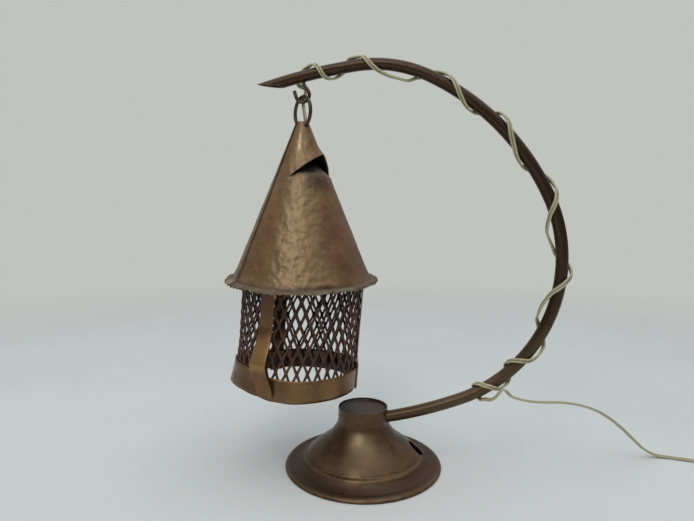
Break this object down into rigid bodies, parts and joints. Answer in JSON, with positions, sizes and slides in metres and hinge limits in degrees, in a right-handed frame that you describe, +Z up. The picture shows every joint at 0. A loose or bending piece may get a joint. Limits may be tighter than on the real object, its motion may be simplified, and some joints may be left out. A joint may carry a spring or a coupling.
{
  "type": "desk lamp with hanging lantern",
  "caption": "Table lamp with a spun base, a C-shaped tube arm wound with flat cord, and a cone-roofed mesh lantern swinging from a wire hook and ring.",
  "frame": {"origin": "centre of the base's underside, on the surface that the lamp stands on", "axes": "+Z up; the arm lies in the XZ plane and bulges towards +X, with the lantern towards -X; the front is -Y"},
  "size_m": [0.6232, 0.178, 0.4579],
  "materials": {
    "base_copper": "aged copper, satin, with darker blotches",
    "arm_copper": "dark aged copper, satin",
    "lantern_copper": "aged copper, satin, with streaks",
    "mesh_copper": "dark aged copper, dull",
    "wire": "dark aged wire, dull",
    "brass": "bright brass",
    "steel": "plain steel",
    "iron": "rough casting",
    "felt": "green felt",
    "fibre": "brown fibre",
    "porcelain": "white glazed",
    "flex": "clear pale gold, soft gloss",
    "plug": "pale gold moulded plastic"
  },
  "bodies": {
    "stand": {"base_shell": "base_copper", "base_felt": "felt", "base_plate": "steel", "base_weight": "iron", "tie_rod": "steel", "tie_rod_lower_nut": "steel", "tie_rod_upper_nut": "steel", "arm_block": "iron", "arm_grub_screw": "steel", "neck_cap": "base_copper", "arm_tube": "arm_copper", "hook": "wire", "cord_drop": "flex", "cord_winding": "flex", "cord_tail": "flex", "cord_coil": "flex", "plug_body": "plug", "plug_blade_1": "brass", "plug_blade_2": "brass"},
    "ring": {"ring": "wire"},
    "lantern": {"roof_cone": "lantern_copper", "mesh_sleeve": "mesh_copper", "strap_front": "lantern_copper", "strap_right": "lantern_copper", "strap_back": "lantern_copper", "bottom_band": "lantern_copper", "holder_bridge": "brass", "holder_nipple": "brass", "holder_locknut": "brass", "cord_bush": "fibre", "holder_cap": "brass", "holder_shell": "brass", "holder_liner": "fibre", "holder_core": "porcelain", "screw_shell": "brass", "centre_contact": "brass", "terminal_screw_1": "brass", "terminal_screw_2": "brass", "cord_inner": "flex"}
  },
  "joints": [
    {"name": "ring_swing", "type": "hinge", "parent": "stand", "child": "ring", "pos_m": [-0.0693, 0, 0.4107], "axis": [1, 0, 0], "range_deg": [-10, 10], "deforming": ["cord_drop"]},
    {"name": "lantern_swing", "type": "hinge", "parent": "ring", "child": "lantern", "pos_m": [-0.0693, 0, 0.38458], "axis": [0.7193, -0.6947, 0], "range_deg": [-12, 12]}
  ]
}
